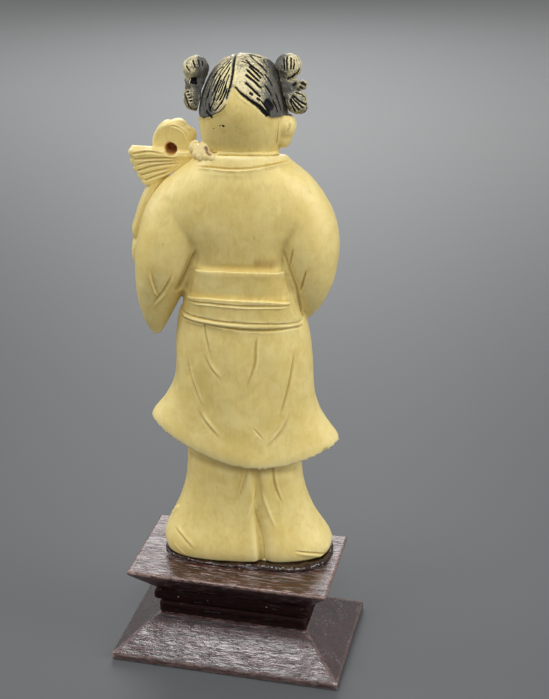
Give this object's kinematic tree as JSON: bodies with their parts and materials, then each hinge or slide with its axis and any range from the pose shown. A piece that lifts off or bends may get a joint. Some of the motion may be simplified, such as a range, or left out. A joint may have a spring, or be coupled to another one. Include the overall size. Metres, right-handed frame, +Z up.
{
  "type": "carved figurine on a stand",
  "caption": "Small carved figurine of a robed girl with twin hair buns and a flower spray, pegged and glued to a stepped hardwood stand.",
  "frame": {"origin": "middle of the stand's underside, on the surface it stands on", "axes": "+Z up the figure; the figure looks towards -Y; its own left side is +X"},
  "size_m": [0.0458, 0.0349, 0.1187],
  "materials": {
    "stand_wood": "dark rosewood, wiped oil finish, worn pale along the arrises",
    "dowel_wood": "plain turned hardwood dowel",
    "carved_bone": "hand-carved bone, aged cream, satin polish",
    "inked_bone": "carved bone with rubbed black ink",
    "adhesive": "dark glossy set adhesive",
    "neck_glue": "pale set glue with a brown stain"
  },
  "bodies": {
    "root": {"stand_base": "stand_wood", "stand_block": "stand_wood", "stand_bead": "stand_wood", "stand_table": "stand_wood", "stand_dowel_left": "dowel_wood", "stand_dowel_right": "dowel_wood", "foot_bed": "adhesive", "figure_peg": "dowel_wood", "figure_body": "carved_bone", "neck_glue": "neck_glue", "head": "carved_bone", "hair_bun_left": "inked_bone", "hair_bun_right": "inked_bone", "bun_pin_right": "inked_bone", "flower_spray": "carved_bone", "hand_left": "carved_bone", "hand_right": "carved_bone"}
  },
  "joints": []
}
